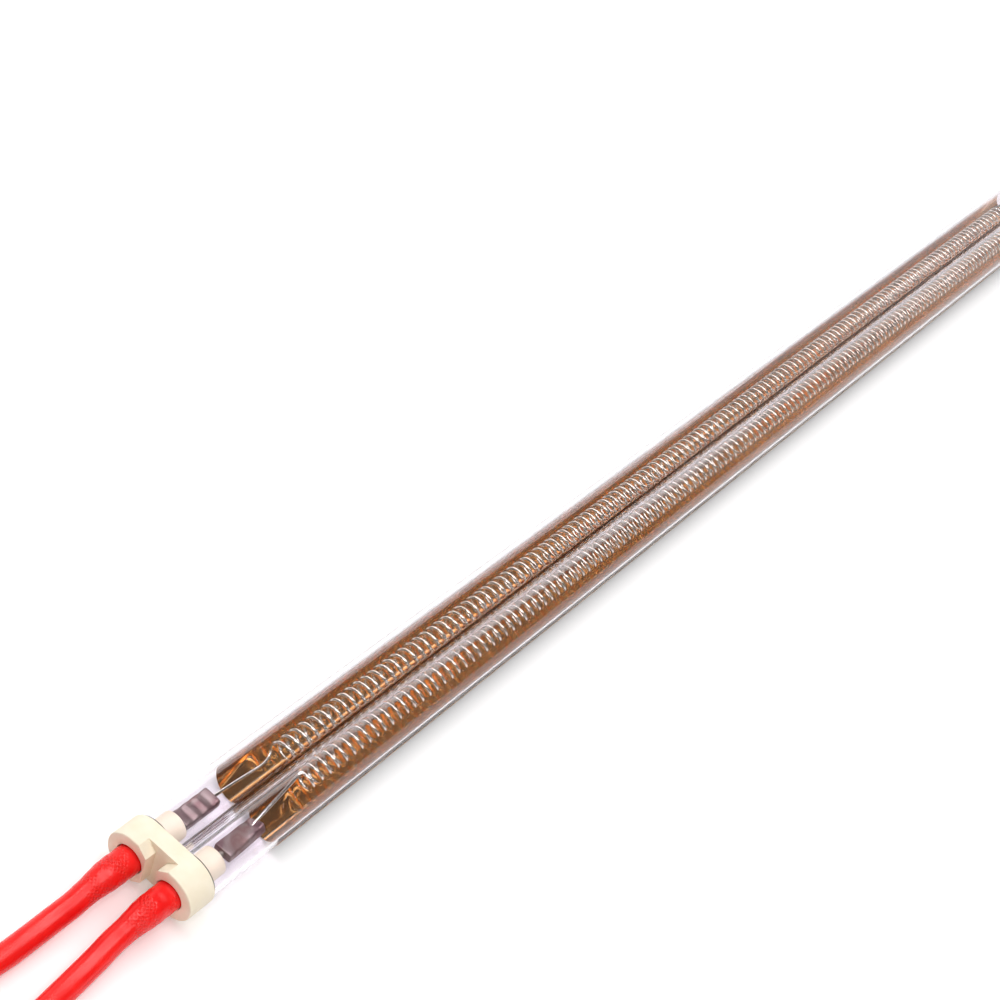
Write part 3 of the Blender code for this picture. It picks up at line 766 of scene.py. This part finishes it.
leadCap, rear = capBody(-cap["gap"], -1)
for side in (1, -1):
    y = side * tube["boreOffset"]
    floorOfRecess = place(rear + cap["recessDepth"], y)
    cut(leadCap, bar(cap["recess"], place(rear - past, y), floorOfRecess, sides=96))
slot = block(
    place(rear - past, -cap["slotWidth"] / 2, -past),
    place(rear + cap["slotDepth"], cap["slotWidth"] / 2, past),
)
for side in (1, -1):
    # the slot flares where it meets the flat top and bottom
    level = place(0, 0, side * (cap["radius"] - cap["shoulderDrop"])).z
    pick(slot, lambda co: True)
    bpy.ops.mesh.bisect(plane_co=(0, 0, level), plane_no=(0, 0, 1))
    bpy.ops.object.mode_set(mode="OBJECT")
flare = cap["shoulderRun"] / cap["shoulderDrop"]
grow = 1 + 2 * flare * (past - cap["radius"] + cap["shoulderDrop"]) / cap["slotWidth"]
middle = place(0, 0, 0).z
for side in (1, -1):
    pick(slot, lambda co: (co.z - middle) * side > cap["radius"])
    bpy.ops.transform.resize(value=(1, grow, 1), center_override=(0, 0, 0))
    bpy.ops.object.mode_set(mode="OBJECT")
cut(leadCap, slot)
tidyMesh(leadCap)
finishPiece(leadCap, "cap_lead_end", ceramic, "ceramic", "lead_end_cap", angle=30)

blankCap, rear = capBody(tube["length"] + cap["gap"], 1)
groove = block(
    place(rear - cap["groove"], -tube["boreOffset"] - cap["hole"], -cap["hole"]),
    place(rear + past, tube["boreOffset"] + cap["hole"], cap["hole"]),
)
cut(blankCap, groove)
tidyMesh(blankCap)
finishPiece(blankCap, "cap_blank_end", ceramic, "ceramic", "blank_end_cap", angle=30)
print("caps made")

# crimps
crimp = {
    "length": 0.0098,
    "nearLength": 0.0106,
    "width": 0.0045,
    "thick": 0.0024,
    "corner": 0.0007,
    "slices": 40,
    "standoff": 0.0003,  # from the cap's boss
    "ahead": 0.0014,  # the near one lies further from its boss
    "linkStandoff": 0.0006,  # at the blank end
    "pressed": 0.0002,  # the marks sink what lies above this height
    "bulge": 60,  # growth of the width per metre of a mark's depth
    # each mark: its middle and half width as shares of the length, and its depth
    "threeMarks": [(0.22, 0.1, 0.00032), (0.50, 0.1, 0.00030), (0.78, 0.1, 0.00028)],
    "twoDents": [(0.40, 0.2, 0.0002), (0.86, 0.07, 0.0003)],
}


def crimpTerminal(name, node, start, marks, yaw=0, twist=0, length=crimp["length"]):
    half = Vector((0, crimp["width"] / 2, crimp["thick"] / 2))
    body = block(-half, Vector((length, 0, 0)) + half)
    pick(body, lambda a, b: abs(a.x - b.x) > length / 2, "EDGE")
    bpy.ops.mesh.bevel(offset=crimp["corner"], segments=4, profile=0.6)
    bpy.ops.object.mode_set(mode="OBJECT")
    for i in range(1, crimp["slices"]):
        pick(body, lambda co: True)
        bpy.ops.mesh.bisect(plane_co=(length * i / crimp["slices"], 0, 0), plane_no=(1, 0, 0))
        bpy.ops.object.mode_set(mode="OBJECT")
    for vert in body.data.vertices:
        share = vert.co.x / length
        dip = max(deep * math.exp(-(((share - at) / wide) ** 2)) for at, wide, deep in marks)
        if vert.co.z > crimp["pressed"]:
            vert.co.z -= dip
        vert.co.y *= 1 + dip * crimp["bulge"]
    bend = body.modifiers.new("twist", "SIMPLE_DEFORM")
    bend.deform_method = "TWIST"
    bend.deform_axis = "X"
    bend.angle = math.radians(twist)
    soft = body.modifiers.new("soft", "SUBSURF")
    soft.levels = soft.render_levels = 1
    applyModifiers(body)
    body.matrix_world = Matrix.Translation(start) @ Matrix.Rotation(math.radians(yaw), 4, "Z")
    finishPiece(body, name, crimpTint, "crimp_steel", node)


crimpX = cap["bossLength"] + crimp["standoff"]
crimpTerminal("crimp_lead_far", "lead_crimp_far", place(crimpX, tube["boreOffset"]),
              crimp["threeMarks"])
crimpTerminal("crimp_lead_near", "lead_crimp_near",
              place(crimpX + crimp["ahead"], -tube["boreOffset"]),
              crimp["twoDents"], yaw=1.5, twist=-28, length=crimp["nearLength"])

# the leads' conductors, and the link that joins the coils in series
nickelWire = {
    "radius": 0.00065,
    "start": -0.0070,  # of a conductor, inside its sleeve end
    "middle": 0.0040,
    "inCrimp": 0.0030,
    "linkInCrimp": 0.0025,
    "bendRadius": 0.0013,
    "bendSteps": 8,
}
linkX = tube["length"] - cap["bossLength"] - crimp["linkStandoff"]
for label, side in (("far", 1), ("near", -1)):
    y = side * tube["boreOffset"]
    crimpTerminal("crimp_link_" + label, "link_crimp_" + label, place(linkX, y),
                  crimp["threeMarks"], yaw=180)
    stops = (nickelWire["start"], nickelWire["middle"], crimpX + nickelWire["inCrimp"])
    rod = wire("rod", [place(x, y) for x in stops], nickelWire["radius"], sides=6)
    finishPiece(asMesh(rod), "core_" + label, nickel, "nickel", "conductor_" + label)
    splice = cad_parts["splice_" + label]
    splice.data.materials.clear()
    splice.data.materials.append(nickel)

bendRadius = nickelWire["bendRadius"]
back = tube["length"] + cap["gap"] + cap["length"] - cap["groove"] / 2
corner = []
for i in range(nickelWire["bendSteps"] + 1):
    angle = math.radians(90 * i / nickelWire["bendSteps"])
    corner.append((back - bendRadius + bendRadius * math.sin(angle),
                   tube["boreOffset"] - bendRadius + bendRadius * math.cos(angle)))
corner.insert(0, (linkX - nickelWire["linkInCrimp"], tube["boreOffset"]))
link = [place(x, y) for x, y in corner] + [place(x, -y) for x, y in reversed(corner)]
link = asMesh(wire("link", link, nickelWire["radius"], sides=6))
finishPiece(link, "link_staple", nickel, "nickel", "link_wire")
print("crimps, conductors and link made")

# floor, light and background
studio = {
    "floorSize": 8,
    "paper": "#F6F5F5",
    "lift": 0.16,  # white added to the floor where the camera or a reflection sees it
    "liftThroughGlass": 0.03,  # and where it is seen through the glass
    "window": (0.87, 0.50, 0.0),  # the way to the bright side of the room
    "windowEdge": (0.35, 0.55),  # cosines from that way, between which it begins
    # the room from level, 0, to straight overhead, 1
    "brightSide": [(0.0, "#F4F4F5"), (0.46, "#F4F4F5"), (0.66, "#6C6967"), (1.0, "#666361")],
    "dimSide": [(0.0, "#FAFAFB"), (0.06, "#FAFAFB"), (0.16, "#5E5B5A"), (1.0, "#666361")],
    # a lamp with no aim hangs level, and one that isn't mirrored has no highlight
    "key": {"place": (-0.95, -0.45, 1.05), "aim": (-0.1, 0, 0), "size": (0.6, 0.6),
            "power": 5.4, "mirrored": True},
    "strip": {"place": (0.02, 0.0, 1.30), "aim": None, "size": (0.40, 2.2),
              "power": 17, "mirrored": True},
    "rim": {"place": (1.02, 1.36, 0.68), "aim": (-0.1, 0, 0), "size": (1.1, 0.8),
            "power": 5.4, "mirrored": False},
}
bpy.ops.mesh.primitive_plane_add(size=studio["floorSize"], location=(0, 0, 0))
floor = only(bpy.context.object)
floor.name = "floor"
# matt white paper, a little brighter to the eye than its lamps make it
paper, tree, shader = newMaterial(
    "whitePaper", Base_Color=hexColour(studio["paper"]), Roughness=0.9)
shader.inputs["Specular IOR Level"].default_value = 0.1
path = addNode(tree, "ShaderNodeLightPath")
seen = addNode(tree, "ShaderNodeMath", {"operation": "MAXIMUM"}, {
    0: path.outputs["Is Camera Ray"], 1: path.outputs["Is Glossy Ray"]})
through = addNode(tree, "ShaderNodeMath", {"operation": "MULTIPLY"}, {
    0: path.outputs["Is Transmission Ray"], 1: studio["liftThroughGlass"]})
lift = addNode(tree, "ShaderNodeMath", {"operation": "MULTIPLY_ADD"}, {
    0: seen.outputs[0], 1: studio["lift"], 2: through.outputs[0]})
shader.inputs["Emission Color"].default_value = hexColour("#FFFFFF")
tree.links.new(lift.outputs[0], shader.inputs["Emission Strength"])
floor.data.materials.append(paper)

world = bpy.data.worlds.new("studio")
bpy.context.scene.world = world
world.use_nodes = True
tree = world.node_tree
coords = addNode(tree, "ShaderNodeTexCoord")
apart = addNode(tree, "ShaderNodeSeparateXYZ", None, {"Vector": coords.outputs["Generated"]})
toWindow = addNode(tree, "ShaderNodeVectorMath", {"operation": "DOT_PRODUCT"}, {
    0: coords.outputs["Generated"], 1: studio["window"]})
bright = ramp(tree, apart.outputs["Z"], studio["brightSide"])
dim = ramp(tree, apart.outputs["Z"], studio["dimSide"])
share = addNode(tree, "ShaderNodeMapRange", None, {
    "Value": toWindow.outputs["Value"],
    "From Min": studio["windowEdge"][0],
    "From Max": studio["windowEdge"][1],
})
sky = addNode(tree, "ShaderNodeMix", {"data_type": "RGBA"}, {
    "Factor": share.outputs[0], 6: dim, 7: bright})
tree.links.new(sky.outputs[2], tree.nodes["Background"].inputs["Color"])
tree.nodes["Background"].inputs["Strength"].default_value = 1.0


def softbox(name):
    own = studio[name]
    lamp = bpy.data.lights.new(name, "AREA")
    lamp.shape = "RECTANGLE"
    lamp.size, lamp.size_y = own["size"]
    lamp.energy = own["power"]
    obj = bpy.data.objects.new(name, lamp)
    bpy.context.scene.collection.objects.link(obj)
    turn = Matrix.Identity(4)
    if own["aim"]:
        away = Vector(own["place"]) - Vector(own["aim"])
        turn = away.to_track_quat("Z", "Y").to_matrix().to_4x4()
    obj.matrix_world = Matrix.Translation(own["place"]) @ turn
    obj.visible_glossy = own["mirrored"]


for name in ("key", "strip", "rim"):
    softbox(name)
bpy.context.scene.view_settings.view_transform = "Standard"
cycles = bpy.context.scene.cycles
cycles.caustics_reflective = False
cycles.max_bounces = 24  # light passes many walls on its way through both bores
cycles.transmission_bounces = 24
cycles.glossy_bounces = 16

print("studio set")
